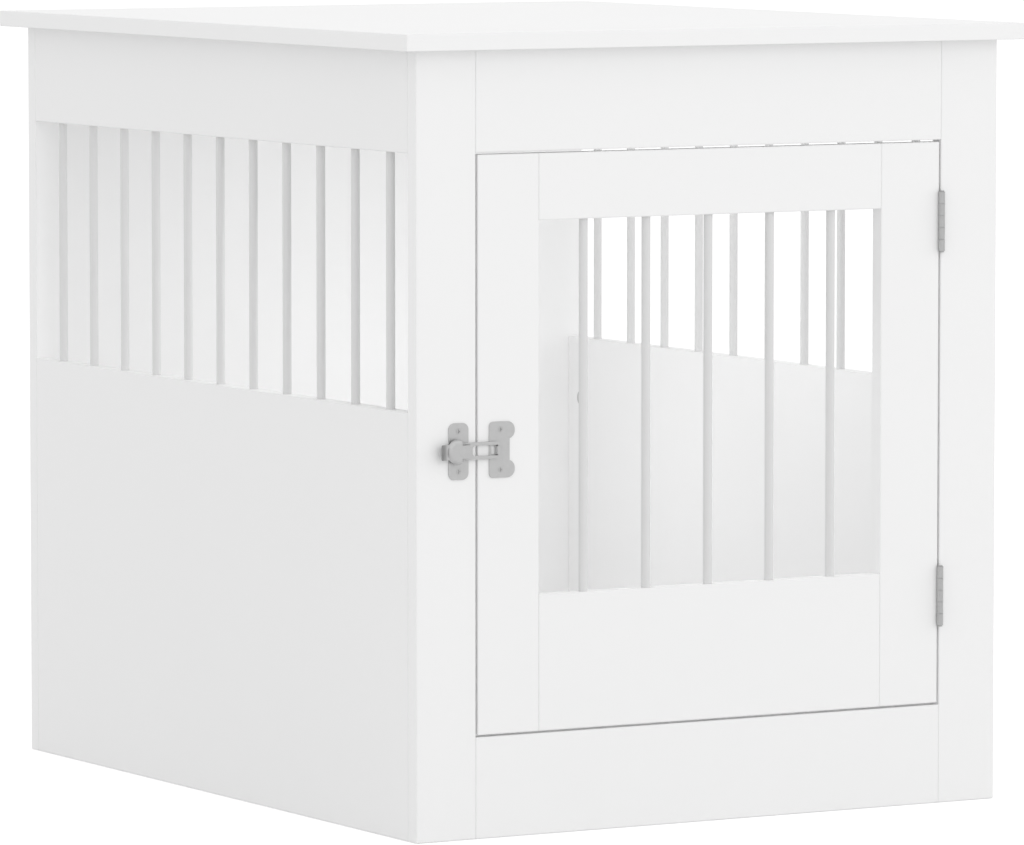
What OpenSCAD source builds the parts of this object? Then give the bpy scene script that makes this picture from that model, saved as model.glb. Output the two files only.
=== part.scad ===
// Pet crate that doubles as a side table. Boards joined by cam fittings and dowels carry a top
// board, a barred window in each side and a barred door on butt hinges, held by a draw latch.
// Millimetres. +Z is up, the door faces -Y, and the origin lies under the middle of the base.

/* [Body] */
// Width of the body under the top board
body_w = 605; // [520:1:760]
// Depth of the body from the door's face to the back
body_d = 760; // [600:1:960]
// Height of the body under the top board
body_h = 695; // [640:1:800]
// Thickness of every board
board_t = 15; // [14:0.5:20]
// Overhang of the top board past the body on each side
top_overhang = 20; // [12:1:50]
// Depth of the floor's upper face below the top of the front bottom rail
floor_drop = 15; // [5:1:40]

/* [Front frame] */
// Width of each front post
post_w = 60; // [50:1:90]
// Height of the rail above the door
front_top_h = 90; // [60:1:120]
// Height of the rail below the door
front_bottom_h = 90; // [75:1:120]

/* [Side windows] */
// Height of each side's lower panel
side_panel_h = 378; // [250:1:460]
// Height of each side's upper rail
side_rail_h = 90; // [60:1:120]
// Bars in each side window
side_bar_count = 11; // [5:1:13]
// Distance from a window's end to the middle of its first bar
side_bar_end = 44; // [25:1:80]

/* [Door] */
// Gap all round the door
door_gap = 2; // [1.6:0.1:3]
// Width of the door's two stiles
stile_w = 62; // [50:1:80]
// Height of the door's top rail
door_top_h = 59; // [45:1:80]
// Height of the door's bottom rail
door_bottom_h = 121; // [80:1:160]
// Bars in the door window
door_bar_count = 5; // [3:1:6]
// Distance from the window's edge to the middle of its first bar
door_bar_end = 49.5; // [25:0.5:70]

/* [Bars] */
// Diameter of the steel bars
bar_d = 8; // [5:0.5:10]
// Depth of the blind holes that the bars stand in
bar_seat = 12; // [6:1:20]
// Clearance round a bar in its hole
bar_fit = 0.1; // [0.05:0.05:0.3]
// Free space past the end of a bar or a dowel in its hole
end_play = 0.5; // [0.2:0.1:1]

/* [Hinges] */
// Length of each hinge
hinge_l = 54; // [46:1:70]
// Distance from the door's top to the middle of the upper hinge
hinge_top_in = 72; // [45:1:120]
// Distance from the door's bottom to the middle of the lower hinge
hinge_bottom_in = 98; // [45:1:140]
// Diameter of the knuckles
knuckle_d = 5.8; // [5:0.1:8]
// Knuckles on each hinge
knuckle_count = 5; // [3:2:7]
// Diameter of the hinge pin
hinge_pin_d = 3; // [2:0.1:3.4]
// Depth of each leaf along the board's edge
leaf_depth = 12; // [10:0.5:13]
// Space between the two leaves of a closed hinge
leaf_space = 0.4; // [0.3:0.1:0.8]
// Distance between the screws of a leaf
leaf_screw_pitch = 18; // [14:0.5:20]
// Diameter of the heads of the hinge pin
hinge_pin_head_d = 4.4; // [3.6:0.1:5]
// Height of each head of the hinge pin
hinge_pin_head_h = 1; // [0.5:0.1:2]

/* [Latch plates] */
// Height of the latch's middle above the ground
latch_z = 343.5; // [280:0.5:450]
// Distance from the post's inner edge to the base plate
latch_inset = 8; // [6:0.5:14]
// Width of the base plate
base_w = 20; // [16:0.5:24]
// Height of the base plate
base_h = 50; // [44:1:60]
// Thickness of the base plate and of the keeper
latch_plate_t = 1.2; // [0.8:0.1:2]
// Corner radius of the base plate
base_round = 6; // [2:0.5:7]
// Distance between the two screws of each plate
latch_screw_pitch = 35.5; // [30:0.5:38]
// Width of the keeper at its waist
keeper_waist_w = 20.6; // [18:0.1:24]
// Width of the keeper at its lobes
keeper_lobe_w = 25.8; // [22:0.1:30]
// Height of the keeper
keeper_h = 49.5; // [45:0.5:60]
// Height of each lobe of the keeper
keeper_lobe_h = 15.5; // [15:0.5:18]
// Radius of the lobes' corners away from the lever
keeper_round = 7.4; // [3:0.1:7.4]
// Radius of the lobes' corners beside the lever
keeper_back_round = 4; // [1.2:0.1:6]
// Metal left between the keeper's straight edge and its window
keeper_rim = 2; // [1.2:0.1:3]
// Distance from the keeper's straight edge to the back of its hook
keeper_hook_in = 7.3; // [6:0.1:8]
// Distance from the keeper's straight edge to its screws
keeper_screw_in = 11.2; // [9:0.1:12]

/* [Latch lever] */
// Width of the lever's hub
hub_w = 8.4; // [6:0.1:10]
// Wall of metal round a pin hole of the latch
hub_wall = 0.9; // [0.8:0.1:1.4]
// Free height between the base plate and the hub
hub_lift = 1.7; // [1.4:0.1:2.2]
// Distance between the lever's pin and the loop's pin
throw = 5; // [4.4:0.1:6]
// Angle by which the closed loop's pin lies below the lever's pin
throw_dip = 8; // [4:0.5:12]
// Distance from the base plate's edge to the lever's pin
pivot_in = 2.5; // [2.3:0.1:3.2]
// Diameter of both pins of the latch
latch_pin_d = 2.4; // [1.6:0.1:2.6]
// Radius of the lever's round cap
cap_r = 11; // [9:0.1:12]
// Radius of the cap's rolled edge, and so its depth
cap_round = 3.6; // [2.4:0.1:4.6]
// Thickness of the lever's pressed sheet
lever_sheet_t = 1; // [0.8:0.1:1.6]
// Free space between the cap and the eye of the loop
cap_clear = 0.5; // [0.5:0.1:1.6]
// Distance from the cap's middle to its straight edge
cap_cut = 3; // [2:0.1:5]
// Reach of the cap's neck past the lever's pin
neck_reach = 1; // [0.5:0.1:1.5]
// Corner radius of the neck
neck_round = 2; // [1:0.1:3]
// Width of the thumb tab
tab_w = 13.5; // [9:0.5:15]
// Reach of the thumb tab past the cap's rim
tab_reach = 8.4; // [5:0.1:10]
// Angle through which the thumb tab curls out
tab_curl = 50; // [30:1:65]
// Height of the thumb tab's underside above the cap's rim
tab_lift = 0.3; // [0.2:0.1:0.6]

/* [Latch loop] */
// Thickness of the loop's flat frame
loop_t = 1.6; // [1:0.1:2]
// Width of the loop's side bars
loop_bar_w = 3; // [2:0.1:3.4]
// Length of the loop's opening
loop_open = 25.5; // [23:0.1:30]
// Radius of the opening's corners beside the lever
loop_round = 3; // [1:0.1:3.2]
// Free height between the plates and the loop
loop_lift = 0.6; // [0.5:0.1:1]
// Thickness of the base plate's two ears
base_ear_t = 1.4; // [1:0.1:1.8]
// Thickness of the loop's two ears
loop_ear_t = 1.5; // [1:0.1:2]
// Reach of the hook's lip past its stem
lip_reach = 2.1; // [1.2:0.1:2.4]
// Thickness of the hook
hook_t = 1.6; // [1:0.1:2]
// Inner radius of the bend between the hook's stem and its lip
hook_bend = 0.5; // [0.3:0.1:0.7]
// Free height between the loop's far bar and the hook's lip
lip_lift = 0.9; // [0.8:0.1:1.5]

/* [Fittings] */
// Diameter of a cam
cam_d = 15; // [12:0.5:18]
// Distance from a joint to the middle of its cam
cam_set = 24; // [20:1:34]
// Board left under a cam, a bolt's tip or a dowel's end
cam_floor = 3; // [2:0.5:4]
// Diameter of a cam bolt's shaft
bolt_d = 5.8; // [4:0.1:6]
// Diameter of a cam bolt's neck, which the cam grips
bolt_neck_d = 3.8; // [3:0.1:4.4]
// Diameter of a cam bolt's head and of its threaded end
bolt_head_d = 6.8; // [6:0.1:7.2]
// Length of a cam bolt's head
bolt_head_h = 3.4; // [2:0.1:4]
// Diameter of the bore for a cam bolt in a board's edge
bolt_bore_d = 8; // [7.5:0.1:9]
// Diameter of a wooden dowel
dowel_d = 8; // [5:0.5:9]
// Length of a wooden dowel
dowel_l = 30; // [26:1:40]
// Distance between a joint's cam and its dowels in the rails
rail_dowel_in = 24; // [20:1:26]
// Distance between the outer dowels of the door's bottom rail
door_low_dowel_span = 72; // [40:1:76]
// Distance between the dowels of the door's top rail
door_top_dowel_span = 28; // [20:1:32]
// Distance from a side panel's edge to its first cam
panel_cam_in = 60; // [45:1:80]
// Distance from a panel's cam to its dowel
panel_dowel_in = 48; // [30:1:60]
// Distance from the body's ends to the cams of the top and the floor
deck_cam_in = 130; // [90:1:200]
// Diameter of a wood screw's shank
screw_d = 2.8; // [2:0.1:3]
// Diameter of a wood screw's countersunk head
screw_head_d = 5.2; // [4.8:0.1:5.6]
// Length of a wood screw with its head
screw_l = 13; // [10:0.5:14]
// Depth of the cross recess in a screw or a cam
recess_depth = 0.8; // [0.4:0.1:1]
// Width of the cross recess's arms
recess_w = 0.7; // [0.4:0.1:1]
// Length of the cross recess in a screw
screw_recess_l = 3.2; // [2:0.1:3.6]
// Length of the cross recess in a cam
cam_recess_l = 7.5; // [5:0.5:9]

/* [Hidden] */
// Radial clearance of a pin in its bore
pin_fit = 0.08;
// Radial clearance of a fastener in its hole
hole_fit = 0.1;
// Space between flat neighbours that turn past each other
side_play = 0.2;
// Space between the base plate's ears and the loop's ears
ear_play = 0.3;
// Overrun of a cut past the face that it opens
over = 1;
side_signs = [-1, 1];
// Facets of the rolled edge's round section
edge_facets = 32;
$fn = 64;

wall_x = (body_w - board_t) / 2;
inner_x = body_w / 2 - board_t;
inner_y = body_d / 2 - board_t;
front_y = -body_d / 2;
front_mid_y = front_y + board_t / 2;
opening_w = body_w - 2 * post_w;
floor_top = front_bottom_h - floor_drop;
side_rail_z = body_h - side_rail_h;
front_rail_z = body_h - front_top_h;

door_w = opening_w - 2 * door_gap;
door_z = front_bottom_h + door_gap;
door_top = front_rail_z - door_gap;
door_h = door_top - door_z;
window_w = door_w - 2 * stile_w;
window_z = door_z + door_bottom_h;
window_top = door_top - door_top_h;

side_pitch = 2 * (inner_y - side_bar_end) / (side_bar_count - 1);
door_pitch = (window_w - 2 * door_bar_end) / (door_bar_count - 1);

leaf_t = (door_gap - leaf_space) / 2;
knuckle_r = knuckle_d / 2;
hinge_x = (opening_w - door_gap) / 2;
hinge_proud = knuckle_r + hole_fit;
lower_hinge_z = door_z + hinge_bottom_in;
upper_hinge_z = door_top - hinge_top_in;
leaf_screw_zs = [-leaf_screw_pitch, 0, leaf_screw_pitch];
knuckle_l = hinge_l / knuckle_count;

// Section across the latch: x as on the crate, y out from the front face
base_right = -opening_w / 2 - latch_inset;
hub_r = latch_pin_d / 2 + hub_wall;
eye_r = hub_r - side_play;
lever_axis = [base_right - pivot_in, latch_plate_t + hub_lift + hub_r];
throw_dir = [cos(throw_dip), sin(throw_dip)];
loop_axis = lever_axis - throw * throw_dir;
loop_low = latch_plate_t + loop_lift;
loop_top = loop_low + loop_t;
web_x = lever_axis[0] + hub_r + 2 * side_play;
open_x = web_x + loop_bar_w;
far_x = open_x + loop_open;
hook_right = far_x - side_play;
hook_x = hook_right - hook_t;
lip_low = loop_top + lip_lift;
keeper_x = hook_right - keeper_hook_in;
base_ear_z = hub_w / 2 + side_play;
loop_ear_z = base_ear_z + base_ear_t + ear_play;
loop_half = loop_ear_z + loop_ear_t;
loop_inner = loop_half - loop_bar_w;
hook_w = 2 * (loop_inner - 1);
cap_top = lever_axis[1] + hub_r + side_play + lever_sheet_t;
cap_rim = cap_top - cap_round;
cap_right = loop_axis[0] - eye_r - cap_clear;
cap_x = cap_right - cap_cut;
neck_half = loop_ear_z - side_play;
latch_screw_zs = [-latch_screw_pitch / 2, latch_screw_pitch / 2];

// Joints: a point on the joint's face, the way into the board with the cam, and that
// board's side on which the cam is turned
panel_cam_zs = [panel_cam_in, side_panel_h - panel_cam_in];
panel_dowel_zs = [panel_cam_in + panel_dowel_in, side_panel_h - panel_cam_in - panel_dowel_in];
side_rail_mid = body_h - side_rail_h / 2;
rail_dowel_zs = [-rail_dowel_in, rail_dowel_in];
deck_cam_y = body_d / 2 - deck_cam_in;
deck_dowel_y = deck_cam_y - panel_dowel_in;
function end_joints(s, e, zs) =
  [for (z = zs) [[s * wall_x, e * inner_y, z], [0, -e, 0], [-s, 0, 0]]];
function top_joints(s, y) =
  [for (e = side_signs) [[s * wall_x, e * y, body_h], [0, 0, -1], [-s, 0, 0]]];
function floor_joints(s, y) =
  [for (e = side_signs) [[s * inner_x, e * y, floor_top - board_t / 2], [-s, 0, 0], [0, 0, -1]]];
function front_joints(s, zs) =
  [for (z = zs) [[s * opening_w / 2, front_mid_y, z], [-s, 0, 0], [0, 1, 0]]];
function door_joints(s, zs) =
  [for (z = zs) [[s * window_w / 2, front_mid_y, z], [-s, 0, 0], [0, 1, 0]]];
function around(mid, steps) = [for (d = steps) mid + d];

side_cam_zs = concat(panel_cam_zs, [side_rail_mid]);
side_dowel_zs = concat(panel_dowel_zs, around(side_rail_mid, rail_dowel_zs));
front_cam_zs = [front_bottom_h / 2, body_h - front_top_h / 2];
front_dowel_zs = concat(around(front_cam_zs[0], rail_dowel_zs), around(front_cam_zs[1], rail_dowel_zs));
door_low_dowels = door_low_dowel_span / 2 * [-1, 0, 1];
door_top_dowels = door_top_dowel_span / 2 * [-1, 1];
door_dowel_zs = concat(
  around(door_z + door_bottom_h / 2, door_low_dowels),
  around(door_top - door_top_h / 2, door_top_dowels)
);
face_depth = board_t - cam_floor;
edge_depth = dowel_l - face_depth;

all_cam_joints = [for (s = side_signs) each concat(
  end_joints(s, -1, side_cam_zs), end_joints(s, 1, side_cam_zs),
  top_joints(s, deck_cam_y), floor_joints(s, deck_cam_y), front_joints(s, front_cam_zs)
)];
face_dowel_joints = [for (s = side_signs) each concat(
  end_joints(s, -1, side_dowel_zs), end_joints(s, 1, side_dowel_zs),
  top_joints(s, deck_dowel_y), floor_joints(s, deck_dowel_y)
)];
edge_dowel_joints = [for (s = side_signs) each front_joints(s, front_dowel_zs)];

// Wood screws: the middle of the head's face, the way the head looks, and the recess's way
base_screws = [for (z = latch_screw_zs)
  [[base_right - base_w / 2, front_y - latch_plate_t, latch_z + z], [0, -1, 0], [1, 0, 0]]];
keeper_screws = [for (z = latch_screw_zs)
  [[keeper_x + keeper_screw_in, front_y - latch_plate_t, latch_z + z], [0, -1, 0], [1, 0, 0]]];
function leaf_screws(s, hinge_z) = [for (z = leaf_screw_zs)
  [[hinge_x + s * leaf_space / 2, front_mid_y, hinge_z + z], [-s, 0, 0], [0, 0, 1]]];
function hinge_screws(s) = concat(leaf_screws(s, lower_hinge_z), leaf_screws(s, upper_hinge_z));

side_names = ["left", "right"];

board_white = [0.95, 0.95, 0.95];
bar_white = [0.86, 0.86, 0.87];
zinc_grey = [0.72, 0.73, 0.76];
steel_grey = [0.5, 0.5, 0.52];
wood_tan = [0.82, 0.7, 0.52];

// Placing helpers

// Turns +Z to the way dir and +X to the way side, at a joint or a screw
module aim(joint) {
  dir = joint[1];
  side = joint[2];
  third = cross(dir, side);
  multmatrix([
    [side[0], third[0], dir[0], joint[0][0]],
    [side[1], third[1], dir[1], joint[0][1]],
    [side[2], third[2], dir[2], joint[0][2]],
    [0, 0, 0, 1]
  ]) children();
}

// Puts the section's y on the way out of the front face, at the latch's height
module at_latch() {
  translate([0, front_y, latch_z]) mirror([0, 1, 0]) children();
}

// Stands a section of the latch up as a slab between two heights about the latch's middle
module latch_slab(z_low, z_high) {
  translate([0, 0, z_low]) linear_extrude(z_high - z_low) children();
}

// Lays an outline in x and z down as a sheet between two distances from the front face
module latch_sheet(y_low, y_high) {
  translate([0, y_high, 0]) rotate([90, 0, 0]) linear_extrude(y_high - y_low) children();
}

module block(low, high) {
  translate(low) cube(high - low);
}

module round_rect(x_low, x_high, half, r_low, r_high) {
  translate([x_low + r_low, -half]) square([x_high - x_low - r_low - r_high, 2 * half]);
  translate([x_low, r_low - half]) square([r_low + r_high, 2 * (half - r_low)]);
  translate([x_high - r_low - r_high, r_high - half]) square([r_low + r_high, 2 * (half - r_high)]);
  for (s = side_signs) {
    translate([x_low + r_low, s * (half - r_low)]) circle(r_low);
    translate([x_high - r_high, s * (half - r_high)]) circle(r_high);
  }
}

// Holes for the fittings

module cam_holes(joints) {
  for (j = joints) aim(j) {
    translate([board_t / 2 - face_depth, 0, cam_set]) rotate([0, 90, 0])
      cylinder(h = face_depth + over, d = cam_d);
    translate([0, 0, -over]) cylinder(h = cam_set + over, d = bolt_bore_d);
  }
}

module bolt_holes(joints) {
  for (j = joints) aim(j)
    translate([0, 0, -face_depth]) cylinder(h = face_depth + over, r = bolt_head_d / 2 + hole_fit);
}

module dowel_holes(joints, low, high) {
  for (j = joints) aim(j)
    translate([0, 0, low]) cylinder(h = high - low, r = dowel_d / 2 + hole_fit);
}

module face_dowel_holes(joints) {
  dowel_holes(joints, -face_depth, edge_depth + end_play);
}

module edge_dowel_holes(joints) {
  dowel_holes(joints, -dowel_l / 2 - end_play, dowel_l / 2 + end_play);
}

module screw_holes(screws) {
  head_h = (screw_head_d - screw_d) / 2;
  for (j = screws) aim(j) {
    translate([0, 0, -screw_l - end_play]) cylinder(h = screw_l + end_play + over, r = screw_d / 2 + hole_fit);
    translate([0, 0, -head_h])
      cylinder(h = head_h, r1 = screw_d / 2 + hole_fit, r2 = screw_head_d / 2 + hole_fit);
    cylinder(h = over, r = screw_head_d / 2 + hole_fit);
  }
}

module bar_holes(xs, ys, z_low) {
  for (x = xs) for (y = ys)
    translate([x, y, z_low]) cylinder(h = bar_seat + over, r = bar_d / 2 + bar_fit);
}

function side_bar_y(i) = side_bar_end - inner_y + (i - 1) * side_pitch;
function door_bar_x(i) = door_bar_end - window_w / 2 + (i - 1) * door_pitch;
side_bar_ys = [for (i = [1:side_bar_count]) side_bar_y(i)];
door_bar_xs = [for (i = [1:door_bar_count]) door_bar_x(i)];

// Cabinet boards

module top_board() {
  half_w = body_w / 2 + top_overhang;
  half_d = body_d / 2 + top_overhang;
  color(board_white) difference() {
    block([-half_w, -half_d, body_h], [half_w, half_d, body_h + board_t]);
    for (s = side_signs) {
      bolt_holes(top_joints(s, deck_cam_y));
      face_dowel_holes(top_joints(s, deck_dowel_y));
    }
  }
}

module floor_board() {
  color(board_white) difference() {
    block([-inner_x, -inner_y, floor_top - board_t], [inner_x, inner_y, floor_top]);
    for (s = side_signs) {
      cam_holes(floor_joints(s, deck_cam_y));
      face_dowel_holes(floor_joints(s, deck_dowel_y));
    }
  }
}

module back_board() {
  color(board_white) difference() {
    block([-body_w / 2, inner_y, 0], [body_w / 2, body_d / 2, body_h]);
    for (s = side_signs) {
      bolt_holes(end_joints(s, 1, side_cam_zs));
      face_dowel_holes(end_joints(s, 1, side_dowel_zs));
    }
  }
}

module side_panel(s) {
  color(board_white) difference() {
    block([s * wall_x - board_t / 2, -inner_y, 0], [s * wall_x + board_t / 2, inner_y, side_panel_h]);
    for (e = side_signs) {
      cam_holes(end_joints(s, e, panel_cam_zs));
      face_dowel_holes(end_joints(s, e, panel_dowel_zs));
    }
    bolt_holes(floor_joints(s, deck_cam_y));
    face_dowel_holes(floor_joints(s, deck_dowel_y));
    bar_holes([s * wall_x], side_bar_ys, side_panel_h - bar_seat);
  }
}

module side_rail(s) {
  color(board_white) difference() {
    block([s * wall_x - board_t / 2, -inner_y, side_rail_z], [s * wall_x + board_t / 2, inner_y, body_h]);
    for (e = side_signs) {
      cam_holes(end_joints(s, e, [side_rail_mid]));
      face_dowel_holes(end_joints(s, e, around(side_rail_mid, rail_dowel_zs)));
    }
    cam_holes(top_joints(s, deck_cam_y));
    face_dowel_holes(top_joints(s, deck_dowel_y));
    bar_holes([s * wall_x], side_bar_ys, side_rail_z - over);
  }
}

module post(s) {
  outer = s * body_w / 2;
  inner = s * opening_w / 2;
  color(board_white) difference() {
    block([min(outer, inner), front_y, 0], [max(outer, inner), -inner_y, body_h]);
    bolt_holes(end_joints(s, -1, side_cam_zs));
    face_dowel_holes(end_joints(s, -1, side_dowel_zs));
    bolt_holes(front_joints(s, front_cam_zs));
    edge_dowel_holes(front_joints(s, front_dowel_zs));
    if (s < 0) screw_holes(base_screws);
    if (s > 0) screw_holes(hinge_screws(1));
  }
}

module front_rail(z_low, z_high) {
  mid = (z_low + z_high) / 2;
  color(board_white) difference() {
    block([-opening_w / 2, front_y, z_low], [opening_w / 2, -inner_y, z_high]);
    for (s = side_signs) {
      cam_holes(front_joints(s, [mid]));
      edge_dowel_holes(front_joints(s, around(mid, rail_dowel_zs)));
    }
  }
}

module front_top_rail() {
  front_rail(front_rail_z, body_h);
}

module front_bottom_rail() {
  front_rail(0, front_bottom_h);
}

// Bars

module bar(x, y, z_low, z_high) {
  color(bar_white) translate([x, y, z_low - bar_seat + end_play])
    cylinder(h = z_high - z_low + 2 * (bar_seat - end_play), d = bar_d);
}

module side_bar(s, i) {
  bar(s * wall_x, side_bar_y(i), side_panel_h, side_rail_z);
}

module door_bar(i) {
  bar(door_bar_x(i), front_mid_y, window_z, window_top);
}

// Door

module stile(s) {
  outer = s * door_w / 2;
  inner = s * window_w / 2;
  color(board_white) difference() {
    block([min(outer, inner), front_y, door_z], [max(outer, inner), -inner_y, door_top]);
    edge_dowel_holes(door_joints(s, door_dowel_zs));
    if (s < 0) screw_holes(keeper_screws);
    if (s > 0) screw_holes(hinge_screws(-1));
  }
}

module door_rail(z_low, z_high, dowels, bar_hole_z) {
  color(board_white) difference() {
    block([-window_w / 2, front_y, z_low], [window_w / 2, -inner_y, z_high]);
    for (s = side_signs) edge_dowel_holes(door_joints(s, around((z_low + z_high) / 2, dowels)));
    bar_holes(door_bar_xs, [front_mid_y], bar_hole_z);
  }
}

module door_top_rail() {
  door_rail(window_top, door_top, door_top_dowels, window_top - over);
}

module door_bottom_rail() {
  door_rail(door_z, window_z, door_low_dowels, window_z - bar_seat);
}

// Hinges

// A leaf with every second knuckle, from number first on; s is 1 on the frame, -1 on the door
module hinge_leaf(s, first, hinge_z) {
  color(steel_grey) difference() {
    translate([hinge_x, front_y - hinge_proud, hinge_z]) {
      difference() {
        scale([s, 1, 1]) translate([leaf_space / 2, 0, -hinge_l / 2])
          cube([leaf_t, hinge_proud + leaf_depth, hinge_l]);
        for (k = [1 - first:2:knuckle_count - 1])
          translate([0, 0, k * knuckle_l - hinge_l / 2 - side_play / 2])
            cylinder(h = knuckle_l + side_play, r = knuckle_r + hole_fit);
        cylinder(h = hinge_l + over, r = hinge_pin_d / 2 + pin_fit, center = true);
      }
      for (k = [first:2:knuckle_count - 1])
        translate([0, 0, k * knuckle_l - hinge_l / 2 + side_play / 2]) difference() {
          cylinder(h = knuckle_l - side_play, r = knuckle_r);
          cylinder(h = 3 * knuckle_l, r = hinge_pin_d / 2 + pin_fit, center = true);
        }
    }
    screw_holes(leaf_screws(s, hinge_z));
  }
}

module hinge_pin(hinge_z) {
  color(steel_grey) translate([hinge_x, front_y - hinge_proud, hinge_z]) {
    cylinder(h = hinge_l + 2 * hinge_pin_head_h, d = hinge_pin_d, center = true);
    for (s = side_signs) translate([0, 0, s * (hinge_l + hinge_pin_head_h) / 2])
      cylinder(h = hinge_pin_head_h, d = hinge_pin_head_d, center = true);
  }
}

// Latch

module latch_base() {
  color(zinc_grey) difference() {
    at_latch() {
      latch_sheet(0, latch_plate_t) round_rect(base_right - base_w, base_right, base_h / 2, base_round, base_round);
      for (s = side_signs) {
        low = s < 0 ? -base_ear_z - base_ear_t : base_ear_z;
        latch_slab(low, low + base_ear_t) difference() {
          union() {
            translate(lever_axis) circle(hub_r);
            translate([lever_axis[0] - hub_r, 0]) square([2 * hub_r, lever_axis[1]]);
          }
          translate(lever_axis) circle(latch_pin_d / 2 + pin_fit);
        }
      }
    }
    screw_holes(base_screws);
  }
}

module lever_pin() {
  half = base_ear_z + base_ear_t;
  color(zinc_grey) at_latch() translate(lever_axis) translate([0, 0, -half])
    cylinder(h = 2 * half, d = latch_pin_d);
}

// Hub of the lever: two round bosses, the bridge between them and the web up to the cap
module hub_outline() {
  off = [-throw_dir[1], throw_dir[0]];
  root_x = cap_right - 2 * lever_sheet_t;
  sheet_mid = cap_top - lever_sheet_t / 2;
  translate(lever_axis) circle(hub_r);
  translate(loop_axis) circle(eye_r);
  polygon([
    lever_axis + hub_r * off, lever_axis - hub_r * off,
    loop_axis - eye_r * off, loop_axis + eye_r * off
  ]);
  polygon([
    lever_axis, [lever_axis[0], sheet_mid], [root_x, sheet_mid],
    [root_x, sheet_mid - 2 * lever_sheet_t], [loop_axis[0], loop_axis[1] - eye_r]
  ]);
}

// Half section of a disc with a rolled edge: its middle is at x = 0, its rim at y = 0
module rolled_disc(flat_r, edge_r) {
  square([flat_r, edge_r]);
  translate([flat_r, 0]) intersection() {
    circle(edge_r, $fn = edge_facets);
    square(edge_r + over);
  }
}

// Round cap with its right side cut straight, and the neck that covers the hub
module thumb_cap() {
  flat_r = cap_r - cap_round;
  intersection() {
    translate([cap_x, cap_rim, 0]) rotate([-90, 0, 0]) rotate_extrude() difference() {
      rolled_disc(flat_r, cap_round);
      rolled_disc(flat_r, cap_round - lever_sheet_t);
    }
    block([cap_x - cap_r - over, 0, -cap_r - over], [cap_right, cap_top + over, cap_r + over]);
  }
  latch_sheet(cap_top - lever_sheet_t, cap_top)
    round_rect(cap_right - lever_sheet_t, lever_axis[0] + neck_reach, neck_half, side_play, neck_round);
}

// Thumb tab: a strip that runs out of the cap's rim and curls out through an arc
module thumb_tab() {
  root_x = cap_x - cap_r + lever_sheet_t / 2;
  root_l = 2 * lever_sheet_t;
  tab_low = cap_rim + tab_lift;
  curl_r = tab_reach / sin(tab_curl);
  wedge = 2 * curl_r;
  tip_x = root_x - tab_reach;
  intersection() {
    latch_slab(-tab_w / 2, tab_w / 2) {
      translate([root_x, tab_low]) square([root_l, lever_sheet_t]);
      translate([root_x, tab_low + curl_r]) intersection() {
        difference() {
          circle(curl_r);
          circle(curl_r - lever_sheet_t);
        }
        polygon([[0, 0], [0, -wedge], [-wedge * sin(tab_curl), -wedge * cos(tab_curl)]]);
      }
    }
    latch_sheet(0, tab_low + curl_r) translate([cap_x, 0]) circle(cap_x - tip_x);
  }
}

module latch_lever() {
  color(zinc_grey) at_latch() difference() {
    union() {
      thumb_cap();
      thumb_tab();
      latch_slab(-hub_w / 2, hub_w / 2) hub_outline();
    }
    for (p = [lever_axis, loop_axis]) translate([p[0], p[1], -hub_w])
      cylinder(h = 2 * hub_w, r = latch_pin_d / 2 + pin_fit);
  }
}

module loop_pin() {
  head_h = hub_wall / 2;
  half = loop_half + side_play / 2 + head_h;
  color(zinc_grey) at_latch() translate(loop_axis) {
    translate([0, 0, -half]) cylinder(h = 2 * half, d = latch_pin_d);
    for (s = side_signs) translate([0, 0, s * (half - head_h / 2)])
      cylinder(h = head_h, r = latch_pin_d / 2 + hub_wall / 2, center = true);
  }
}

module latch_loop() {
  color(zinc_grey) at_latch() {
    latch_sheet(loop_low, loop_top) difference() {
      round_rect(web_x, far_x + loop_bar_w, loop_half, loop_bar_w, loop_bar_w);
      round_rect(open_x, far_x, loop_inner, loop_round, side_play);
    }
    for (s = side_signs) {
      low = s < 0 ? -loop_half : loop_ear_z;
      latch_slab(low, low + loop_ear_t) difference() {
        union() {
          translate(loop_axis) circle(eye_r);
          polygon([
            [loop_axis[0], loop_low], [open_x, loop_low], [open_x, loop_top],
            [web_x, loop_axis[1] - side_play], [loop_axis[0], loop_axis[1] - side_play]
          ]);
        }
        translate(loop_axis) circle(latch_pin_d / 2 + pin_fit);
      }
    }
  }
}

module keeper_outline() {
  lobe_z = (keeper_h - keeper_lobe_h) / 2;
  round_rect(keeper_x, keeper_x + keeper_waist_w, lobe_z, latch_plate_t, latch_plate_t);
  for (s = side_signs) translate([0, s * lobe_z])
    round_rect(keeper_x, keeper_x + keeper_lobe_w, keeper_lobe_h / 2, keeper_back_round, keeper_round);
}

module hook_outline() {
  bend = [hook_right + hook_bend, lip_low - hook_bend];
  translate([hook_x, 0]) square([hook_t, bend[1]]);
  translate(bend) intersection() {
    difference() {
      circle(hook_bend + hook_t);
      circle(hook_bend);
    }
    translate([-hook_bend - hook_t, 0]) square(hook_bend + hook_t);
  }
  translate([bend[0], lip_low]) square([hook_right + lip_reach - bend[0] - hook_t / 2, hook_t]);
  translate([hook_right + lip_reach - hook_t / 2, lip_low + hook_t / 2]) circle(hook_t / 2);
}

module latch_keeper() {
  punch_x = keeper_x + keeper_rim;
  color(zinc_grey) difference() {
    at_latch() {
      latch_sheet(0, latch_plate_t) difference() {
        keeper_outline();
        translate([punch_x, -hook_w / 2]) square([hook_x - punch_x, hook_w]);
      }
      latch_slab(-hook_w / 2, hook_w / 2) hook_outline();
    }
    screw_holes(keeper_screws);
  }
}

// Screws and fittings

module cross_recess(arm) {
  for (a = [0, 90]) rotate(a) translate([-arm / 2, -recess_w / 2, -recess_depth])
    cube([arm, recess_w, recess_depth + over]);
}

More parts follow.
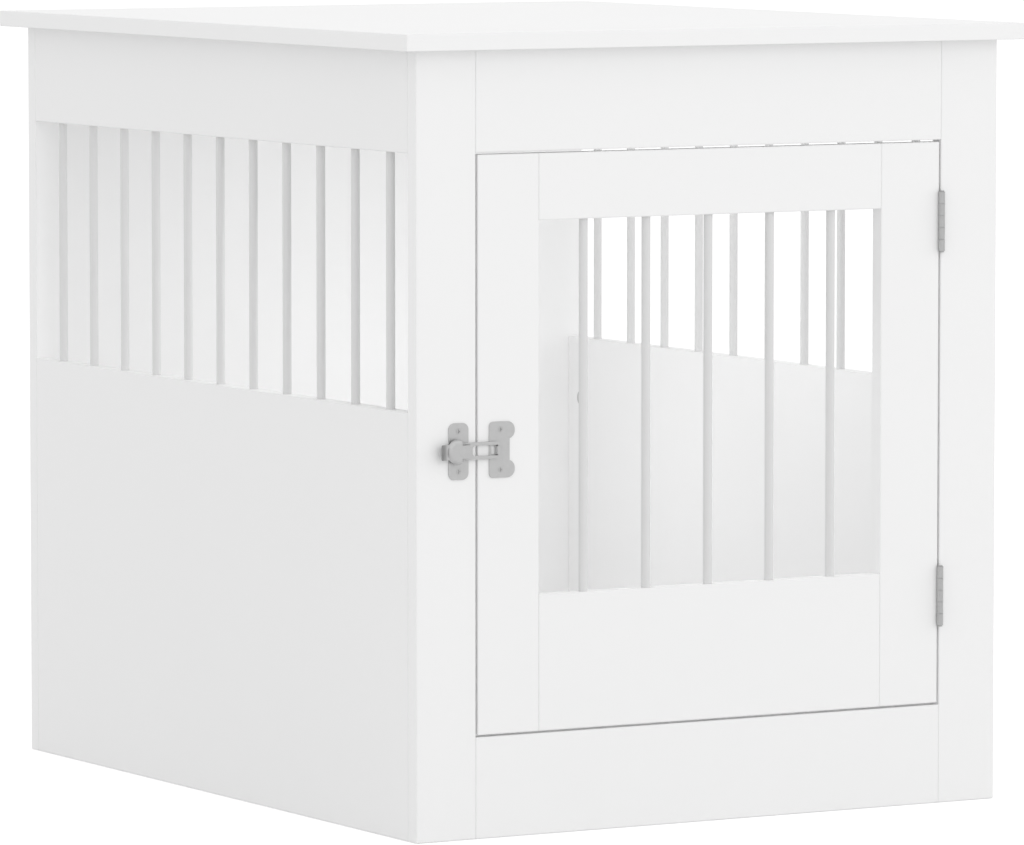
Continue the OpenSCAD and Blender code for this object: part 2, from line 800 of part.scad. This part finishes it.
module wood_screws(screws) {
  head_h = (screw_head_d - screw_d) / 2;
  tip_h = screw_d / 2;
  color(zinc_grey) for (j = screws) aim(j) difference() {
    union() {
      translate([0, 0, tip_h - screw_l]) cylinder(h = screw_l - tip_h - head_h, d = screw_d);
      translate([0, 0, -screw_l]) cylinder(h = tip_h, d1 = recess_w, d2 = screw_d);
      translate([0, 0, -head_h]) cylinder(h = head_h, d1 = screw_d, d2 = screw_head_d);
    }
    cross_recess(screw_recess_l);
  }
}

module cabinet_screws() {
  wood_screws(concat(base_screws, hinge_screws(1)));
}

module door_screws() {
  wood_screws(concat(keeper_screws, hinge_screws(-1)));
}

module cams() {
  head_reach = bolt_head_d / 2 + side_play;
  color(zinc_grey) for (j = all_cam_joints) aim(j) difference() {
    translate([board_t / 2 - face_depth + side_play, 0, cam_set]) rotate([0, 90, 0])
      cylinder(h = face_depth - side_play, r = cam_d / 2 - hole_fit);
    translate([0, 0, cam_set - cam_d]) cylinder(h = cam_d + head_reach, r = head_reach);
    translate([board_t / 2, 0, cam_set]) rotate([0, 90, 0]) cross_recess(cam_recess_l);
  }
}

module cam_bolts() {
  anchor_h = face_depth - end_play;
  color(zinc_grey) for (j = all_cam_joints) aim(j) {
    translate([0, 0, -anchor_h]) cylinder(h = anchor_h, d = bolt_head_d);
    cylinder(h = cam_set - 2 * bolt_head_h, d = bolt_d);
    cylinder(h = cam_set + bolt_head_h, d = bolt_neck_d);
    translate([0, 0, cam_set]) cylinder(h = bolt_head_h, d = bolt_head_d);
  }
}

module dowel_row(joints, low) {
  color(wood_tan) for (j = joints) aim(j)
    translate([0, 0, low]) cylinder(h = dowel_l - end_play, d = dowel_d);
}

module dowels() {
  dowel_row(face_dowel_joints, end_play / 2 - face_depth);
  dowel_row(edge_dowel_joints, (end_play - dowel_l) / 2);
}

module door_dowels() {
  for (s = side_signs) dowel_row(door_joints(s, door_dowel_zs), (end_play - dowel_l) / 2);
}

top_board();
floor_board();
back_board();
side_panel(-1);  // left_panel
side_panel(1);  // right_panel
side_rail(-1);  // left_upper_rail
side_rail(1);  // right_upper_rail
post(-1);  // left_post
post(1);  // right_post
front_top_rail();
front_bottom_rail();
for (k = [0, 1]) for (i = [1:side_bar_count])
  side_bar(side_signs[k], i);
stile(-1);  // latch_stile
stile(1);  // hinge_stile
door_top_rail();
door_bottom_rail();
for (i = [1:door_bar_count])
  door_bar(i);
hinge_leaf(1, 0, lower_hinge_z);  // lower_frame_leaf
hinge_leaf(-1, 1, lower_hinge_z);  // lower_door_leaf
hinge_pin(lower_hinge_z);  // lower_hinge_pin
hinge_leaf(1, 0, upper_hinge_z);  // upper_frame_leaf
hinge_leaf(-1, 1, upper_hinge_z);  // upper_door_leaf
hinge_pin(upper_hinge_z);  // upper_hinge_pin
latch_base();
lever_pin();
latch_lever();
loop_pin();
latch_loop();
latch_keeper();
cabinet_screws();
door_screws();
cams();
cam_bolts();
dowels();
door_dowels();
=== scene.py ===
from math import cos, radians, sin

import bpy
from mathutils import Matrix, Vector


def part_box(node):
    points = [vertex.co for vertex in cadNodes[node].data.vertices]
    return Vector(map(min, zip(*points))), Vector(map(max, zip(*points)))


print("crate: loading the packed cabinet, door and latch")
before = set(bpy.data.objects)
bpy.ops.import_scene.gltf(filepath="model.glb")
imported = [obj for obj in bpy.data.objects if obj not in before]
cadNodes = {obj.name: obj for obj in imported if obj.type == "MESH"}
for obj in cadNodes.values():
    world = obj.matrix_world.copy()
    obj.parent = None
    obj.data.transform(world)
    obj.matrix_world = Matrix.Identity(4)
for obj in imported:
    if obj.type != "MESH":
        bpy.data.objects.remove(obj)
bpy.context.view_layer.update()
mm = 0.001


def feed(socket, value):
    if isinstance(value, Wire):
        socket.id_data.links.new(value.socket, socket)
    else:
        socket.default_value = value


class Wire:
    # wraps one output socket, so that shader maths reads as plain sums

    def __init__(self, socket):
        self.socket = socket

    def maths(self, operation, *values):
        node = self.socket.id_data.nodes.new("ShaderNodeMath")
        node.operation = operation
        for socket, value in zip(node.inputs, values):
            feed(socket, value)
        return Wire(node.outputs[0])

    def __add__(self, other):
        return self.maths("ADD", self, other)

    def __sub__(self, other):
        return self.maths("SUBTRACT", self, other)

    def __rsub__(self, other):
        return self.maths("SUBTRACT", other, self)

    def __mul__(self, other):
        return self.maths("MULTIPLY", self, other)

    def __abs__(self):
        return self.maths("ABSOLUTE", self)

    def least(self, other):
        return self.maths("MINIMUM", self, other)

    def most(self, other):
        return self.maths("MAXIMUM", self, other)

    __radd__ = __add__
    __rmul__ = __mul__


class Finish:
    # one node material, named for what it covers

    def __init__(self, name):
        self.material = bpy.data.materials.new(name)
        self.material.use_nodes = True
        self.tree = self.material.node_tree
        self.tree.nodes.clear()
        self.place = self.add("ShaderNodeTexCoord", out="Object")

    def add(self, kind, settings=None, sockets=None, out=0):
        # any node, from its type, its settings, and the values or links of its sockets
        node = self.tree.nodes.new(kind)
        for name, value in (settings or {}).items():
            setattr(node, name, value)
        for name, value in (sockets or {}).items():
            feed(node.inputs[name], value)
        return Wire(node.outputs[out]) if node.outputs else None

    def axes(self):
        # the three coordinates of the point, in metres in the crate's own frame
        across = self.add("ShaderNodeSeparateXYZ", sockets={"Vector": self.place})
        return [Wire(socket) for socket in across.socket.node.outputs]

    def noise(self, scale, detail=2.0, stretch=None):
        place = self.place
        if stretch:
            place = self.add("ShaderNodeVectorMath", {"operation": "MULTIPLY"}, {0: place, 1: stretch})
        return self.add("ShaderNodeTexNoise", sockets={"Vector": place, "Scale": scale, "Detail": detail})

    def step(self, value, low, high):
        # a soft step from 0 to 1 as value goes from low to high
        sockets = {"Value": value, "From Min": low, "From Max": high}
        return self.add("ShaderNodeMapRange", {"interpolation_type": "SMOOTHSTEP"}, sockets)

    def mix(self, mask, first, second):
        # colours: first where mask is 0, second where it is 1
        return self.add("ShaderNodeMix", {"data_type": "RGBA"}, {0: mask, 6: first, 7: second}, 2)

    def bump(self, height, distance, strength, under=None):
        sockets = {"Height": height, "Distance": distance, "Strength": strength}
        if under:
            sockets["Normal"] = under
        return self.add("ShaderNodeBump", sockets=sockets)

    def surface(self, sockets):
        shader = self.add("ShaderNodeBsdfPrincipled", sockets=sockets)
        self.add("ShaderNodeOutputMaterial", sockets={"Surface": shader})
        return self.material


def grey(level):
    return (level, level, level, 1.0)


edgeLook = {
    "weld": 0.002,         # mm, corners closer than this become one
    "flat": 0.5,           # degrees, faces that meet flatter than this become one
    "sharp": 40,           # degrees, edges that turn more than this get their round
    "steps": 2,
}


def wear(node, material, edgeRound=0.0, look=edgeLook):
    # gives a CAD node its material, and its hard edges a small round in mm
    part = cadNodes[node]
    part.data.materials.clear()
    part.data.materials.append(material)
    if not edgeRound:
        return
    weld = part.modifiers.new("weld", "WELD")
    weld.merge_threshold = look["weld"] * mm
    flats = part.modifiers.new("flats", "DECIMATE")
    flats.decimate_type = "DISSOLVE"
    flats.angle_limit = radians(look["flat"])
    bevel = part.modifiers.new("edge", "BEVEL")
    bevel.width = edgeRound * mm
    bevel.segments = look["steps"]
    bevel.limit_method = "ANGLE"
    bevel.angle_limit = radians(look["sharp"])
    bevel.use_clamp_overlap = False
    bevel.miter_outer = "MITER_SHARP"
    bevel.loop_slide = False
    bevel.face_strength_mode = "FSTR_ALL"
    normals = part.modifiers.new("normals", "WEIGHTED_NORMAL")
    normals.weight = 100
    normals.keep_sharp = False
    normals.use_face_influence = True


print("crate: white laminated boards")
boardLook = {
    "white": 0.90,
    "cloudScale": 5.0,     # the faint cloud in the white, and how far it goes down and up
    "cloudDown": 0.008,
    "cloudUp": 0.004,
    "bandWhite": 0.90,
    "bandThick": 0.8,      # mm, the edge band as its end shows on the face
    "seamGrey": 0.70,
    "seamShare": 0.5,      # how much of the seam's grey shows
    "seamWide": 0.10,      # mm, the glue line beside the band
    "seamDeep": 0.03,      # mm
    "grainSize": 0.6,      # mm, the fine pressed grain of the face
    "grainDeep": 0.010,    # mm
    "shine": 0.46,
    "woodFrom": 0.9,       # mm under the laminate, where the chipboard starts to show
    "woodTo": 1.1,
    "woodDark": (0.42, 0.27, 0.13, 1),
    "woodLight": (0.68, 0.52, 0.33, 1),
    "woodRough": 0.9,
    "chipScale": 420.0,
    "chipDeep": 0.3,       # mm
    "edgeRound": 0.8,      # mm
}
boards = [
    "top_board", "floor_board", "back_board", "left_panel", "right_panel", "left_upper_rail",
    "right_upper_rail", "left_post", "right_post", "front_top_rail", "front_bottom_rail",
    "latch_stile", "hinge_stile", "door_top_rail", "door_bottom_rail",
]


def laminate(board, look):
    low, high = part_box(board)
    finish = Finish("white laminate on " + board.replace("_", " "))
    # how deep the point lies under the board's two faces, its two long edges and its two ends
    depths = []
    for axis, at in enumerate(finish.axes()):
        middle, half = (low[axis] + high[axis]) / 2, (high[axis] - low[axis]) / 2
        depths.append((half, half - abs(at - middle)))
    depths.sort(key=lambda pair: pair[0])
    faceDeep = depths[0][1]
    edgeDeep = depths[1][1].least(depths[2][1])
    band = look["bandThick"] * mm
    line = look["seamWide"] * mm
    onBand = finish.step(edgeDeep, band + line / 2, band - line / 2)
    seam = 1 - finish.step(abs(edgeDeep - band), line * 0.4, line)
    wood = finish.step(faceDeep.least(edgeDeep), look["woodFrom"] * mm, look["woodTo"] * mm)
    cloud = finish.noise(look["cloudScale"], 3.0)
    fine = finish.noise(1000 / look["grainSize"], 3.0)
    chips = finish.noise(look["chipScale"], 4.0)
    darker, lighter = grey(look["white"] - look["cloudDown"]), grey(look["white"] + look["cloudUp"])
    white = finish.mix(cloud, darker, lighter)
    white = finish.mix(onBand, white, grey(look["bandWhite"]))
    white = finish.mix(seam * look["seamShare"], white, grey(look["seamGrey"]))
    colour = finish.mix(wood, white, finish.mix(chips, look["woodDark"], look["woodLight"]))
    gloss = look["shine"] + 0.06 * (cloud - 0.5) + 0.05 * (fine - 0.5) - 0.05 * onBand
    rough = gloss + wood * (look["woodRough"] - gloss)
    grain = finish.bump(fine, look["grainDeep"] * mm, 0.6)
    joint = finish.bump(1 - seam, look["seamDeep"] * mm, 0.7, grain)
    chipped = finish.bump(chips * wood, look["chipDeep"] * mm, 1.0, joint)
    return finish.surface(
        {"Base Color": colour, "Roughness": rough, "Normal": chipped, "Specular IOR Level": 0.4}
    )


for board in boards:
    wear(board, laminate(board, boardLook), boardLook["edgeRound"])

print("crate: coated bars")
barLook = {
    "grey": 0.72,
    "cloudDeep": 0.012,    # how far the grey wanders
    "shine": 0.42,
    "peelSize": 1.6,       # mm, the orange peel of the coat
    "peelDeep": 0.02,      # mm
}


def barCoat(look):
    finish = Finish("light grey powder coat")
    peel = finish.noise(1000 / look["peelSize"])
    cloud = finish.noise(30.0)
    darker, lighter = grey(look["grey"] - look["cloudDeep"]), grey(look["grey"] + look["cloudDeep"])
    colour = finish.mix(cloud, darker, lighter)
    rough = look["shine"] + 0.08 * (peel - 0.5) + 0.06 * (cloud - 0.5)
    bump = finish.bump(peel, look["peelDeep"] * mm, 0.8)
    return finish.surface({"Base Color": colour, "Roughness": rough, "Normal": bump})


coat = barCoat(barLook)
for node in cadNodes:
    if "_bar_" in node:
        wear(node, coat)

print("crate: hinges, latch and screws")
# each finish: base grey, roughness, share of bare metal, stretch and size in mm of the brushing,
# and the round of the hard edges in mm
metalLooks = {
    "bright plating on the latch": (0.58, 0.45, 0.75, (1, 1, 6), 0.8, 0.12),
    "lever plating with painted tab shade": (0.58, 0.40, 0.85, (1, 1, 6), 0.8, 0.12),
    "dark steel on the hinges": (0.52, 0.42, 0.85, (1, 1, 0.2), 0.6, 0.12),
    "zinc on the screws": (0.55, 0.34, 1.0, None, 0.5, 0.0),
    "cast zinc of the cams": (0.60, 0.50, 1.0, None, 0.9, 0.0),
}
metalNodes = {
    "bright plating on the latch": ["latch_base", "lever_pin", "loop_pin", "latch_loop", "latch_keeper"],
    "lever plating with painted tab shade": ["latch_lever"],
    "dark steel on the hinges": [node for node in cadNodes if node.endswith(("_leaf", "hinge_pin"))],
    "zinc on the screws": ["cabinet_screws", "door_screws", "cam_bolts"],
    "cast zinc of the cams": ["cams"],
}
# painted shade: the lever's thumb tab gets a darker grey, standing in for the shade and dark reflection
# in its curl
tabShadeLook = {
    "tabShadeFrom": -273.6,    # mm across the front, where the painted shade on the thumb tab starts
    "tabShadeTo": -277.6,
    "tabShadeGrey": 0.36,
}


def plating(name, level, shine, metal, brush, size, tabShade=None):
    finish = Finish(name)
    cloud = finish.noise(260.0, 3.0)
    brushed = finish.noise(1000 / size, 3.0, brush)
    colour = finish.mix(cloud, grey(level * 0.93), grey(level * 1.05))
    if tabShade:
        # painted shade: darker grey on the thumb tab beyond the cap's rim
        tabShadeMask = finish.step(finish.axes()[0], tabShade["tabShadeFrom"] * mm, tabShade["tabShadeTo"] * mm)
        colour = finish.mix(tabShadeMask, colour, grey(tabShade["tabShadeGrey"]))
    rough = shine + 0.12 * (brushed - 0.5) + 0.10 * (cloud - 0.5)
    bump = finish.bump(brushed, 0.006 * mm, 0.6)
    return finish.surface(
        {"Base Color": colour, "Roughness": rough, "Normal": bump, "Metallic": metal}
    )


for name, (*look, edgeRound) in metalLooks.items():
    metal = plating(name, *look, tabShadeLook if "lever" in name else None)
    for node in metalNodes[name]:
        wear(node, metal, edgeRound)

dowelLook = {
    "dark": (0.50, 0.31, 0.16, 1),
    "light": (0.72, 0.52, 0.32, 1),
    "fibreScale": 900.0,
    "fibreDeep": 0.05,     # mm
    "shine": 0.6,
}


def beech(look):
    finish = Finish("beech dowels")
    fibre = finish.noise(look["fibreScale"], 4.0, (1, 1, 0.15))
    colour = finish.mix(fibre, look["dark"], look["light"])
    rough = look["shine"] + 0.1 * fibre
    bump = finish.bump(fibre, look["fibreDeep"] * mm, 0.8)
    return finish.surface({"Base Color": colour, "Roughness": rough, "Normal": bump})


dowelWood = beech(dowelLook)
wear("dowels", dowelWood)
wear("door_dowels", dowelWood)

print("crate: floor, light and camera")
stageLook = {
    "floorGrey": 0.80,      # the floor as it lights the crate
    "seenGrey": 0.55,       # the floor as the camera sees it: a grey that takes the shadow,
    "seenGlow": 0.6,        # and a glow that makes it white
    "floorSize": 60.0,      # metres
    "floorBelow": 0.2,      # mm under the crate's foot
    "air": 0.965,           # the world as it lights the crate
}
# each lamp: place and what it points at in metres, width in metres, power in watts
lamps = {
    "key": ((-0.4, -4.4, 2.0), (0, 0, 0.35), 2.2, 15.5),
    "right light": ((3.6, -1.4, 1.3), (0.3, 0.2, 0.45), 1.5, 12.0),
    "cabin light": ((-0.04, -0.14, 0.58), (0.12, 0.25, 0.10), 0.30, 0.66),
    "corner light": ((0.06, 0.14, 0.28), (0.28, 0.365, 0.28), 0.24, 0.055),
}


def floorFinish(look):
    finish = Finish("pale studio floor")
    path = finish.add("ShaderNodeLightPath", out="Is Camera Ray")
    plain = finish.add("ShaderNodeBsdfDiffuse", sockets={"Color": grey(look["floorGrey"])})
    shadowed = finish.add("ShaderNodeBsdfDiffuse", sockets={"Color": grey(look["seenGrey"])})
    glow = finish.add("ShaderNodeEmission", sockets={"Color": grey(1.0), "Strength": look["seenGlow"]})
    lit = finish.add("ShaderNodeAddShader", sockets={0: shadowed, 1: glow})
    both = finish.add("ShaderNodeMixShader", sockets={0: path, 1: plain, 2: lit})
    finish.add("ShaderNodeOutputMaterial", sockets={"Surface": both})
    return finish.material


def layFloor(look):
    half, low = look["floorSize"] / 2, -look["floorBelow"] * mm
    corners = [(-half, -half, low), (half, -half, low), (half, half, low), (-half, half, low)]
    mesh = bpy.data.meshes.new("studio floor")
    mesh.from_pydata(corners, [], [(0, 1, 2, 3)])
    mesh.materials.append(floorFinish(look))
    floor = bpy.data.objects.new("studio_floor", mesh)
    bpy.context.scene.collection.objects.link(floor)


def lightAir(look):
    # the world is white to the eye and in the metal, and a little lower as a light
    world = bpy.data.worlds.new("studio air")
    world.use_nodes = True
    bpy.context.scene.world = world
    tree = world.node_tree
    tree.nodes.clear()
    path = tree.nodes.new("ShaderNodeLightPath")
    seen = Wire(path.outputs["Is Camera Ray"]).most(Wire(path.outputs["Is Glossy Ray"]))
    seen = seen.most(Wire(path.outputs["Is Transmission Ray"]))
    back = tree.nodes.new("ShaderNodeBackground")
    feed(back.inputs["Color"], grey(1.0))
    feed(back.inputs["Strength"], look["air"] + seen * (1 - look["air"]))
    out = tree.nodes.new("ShaderNodeOutputWorld")
    tree.links.new(back.outputs[0], out.inputs["Surface"])


def hangLamp(name, place, aim, size, power):
    lamp = bpy.data.lights.new(name, "AREA")
    lamp.shape = "SQUARE"
    lamp.size = size
    lamp.energy = power
    holder = bpy.data.objects.new(name, lamp)
    bpy.context.scene.collection.objects.link(holder)
    holder.visible_camera = holder.visible_glossy = False
    holder.location = place
    holder.rotation_euler = (Vector(aim) - Vector(place)).to_track_quat("-Z", "Y").to_euler()


cameraLook = {
    "place": (-3.5401, -6.1788, 0.93046),
    "turn": 0.52182,        # radians, from straight at the back towards the right
    "dip": 0.08408,         # radians below level
    "lens": 268.48,         # mm, on a 36 mm sensor
}


def setCamera(look):
    camera = bpy.data.cameras.new("camera")
    camera.lens = look["lens"]
    camera.sensor_width = 36.0
    camera.clip_start = 0.1
    camera.clip_end = 200.0
    holder = bpy.data.objects.new("camera", camera)
    bpy.context.scene.collection.objects.link(holder)
    holder.location = look["place"]
    turn, dip = look["turn"], look["dip"]
    ahead = Vector((sin(turn) * cos(dip), cos(turn) * cos(dip), -sin(dip)))
    holder.rotation_euler = ahead.to_track_quat("-Z", "Y").to_euler()
    bpy.context.scene.camera = holder


layFloor(stageLook)
lightAir(stageLook)
for name, lamp in lamps.items():
    hangLamp(name, *lamp)
setCamera(cameraLook)
bpy.context.scene.cycles.diffuse_bounces = 8    # the light inside the white cabin needs them
bpy.context.scene.view_settings.view_transform = "Standard"

print("crate: done")
